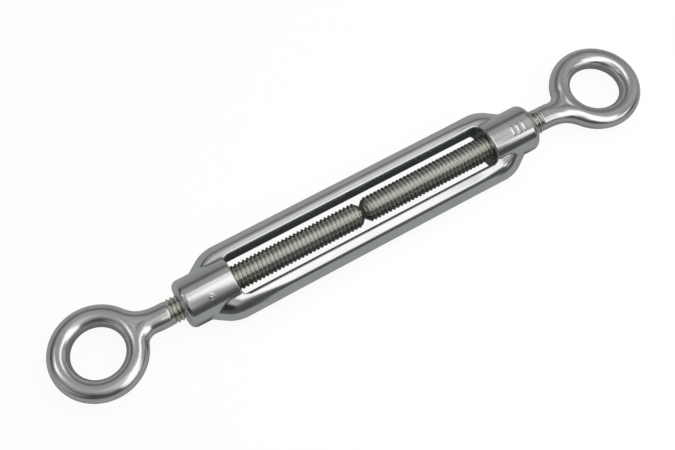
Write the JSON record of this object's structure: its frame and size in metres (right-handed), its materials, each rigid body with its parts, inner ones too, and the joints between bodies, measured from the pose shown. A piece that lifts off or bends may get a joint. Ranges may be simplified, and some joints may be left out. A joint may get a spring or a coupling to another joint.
{
  "type": "rigging turnbuckle",
  "caption": "Open-frame rigging turnbuckle: a polished steel frame with a boss at each end, drawing in two opposite-handed threaded eye bolts.",
  "frame": {"origin": "middle of the frame, on the thread axis, half way between the two bosses' outer faces", "axes": "+X along the tension axis towards the right-hand-thread eye bolt, +Y across the arms in the plane of the eyes, +Z square to the plane of the eyes"},
  "size_m": [0.1546, 0.0234, 0.0117],
  "materials": {
    "frame_steel": "mirror-polished cast stainless steel",
    "eye_bolt_steel": "polished stainless steel wire, darker in the rolled thread"
  },
  "bodies": {
    "frame": {"frame_body": "frame_steel"},
    "right_hand_bolt": {"right_hand_eye_bolt": "eye_bolt_steel"},
    "left_hand_bolt": {"left_hand_eye_bolt": "eye_bolt_steel"}
  },
  "joints": [
    {"name": "right_hand_bolt_travel", "type": "slide", "parent": "frame", "child": "right_hand_bolt", "axis": [1, 0, 0], "range_m": [-0.0002, 0.033]},
    {"name": "left_hand_bolt_travel", "type": "slide", "parent": "frame", "child": "left_hand_bolt", "axis": [-1, 0, 0], "range_m": [-0.0002, 0.033]}
  ],
  "couplings": [
    {"joint": "left_hand_bolt_travel", "follows": "right_hand_bolt_travel", "ratio": 1}
  ]
}
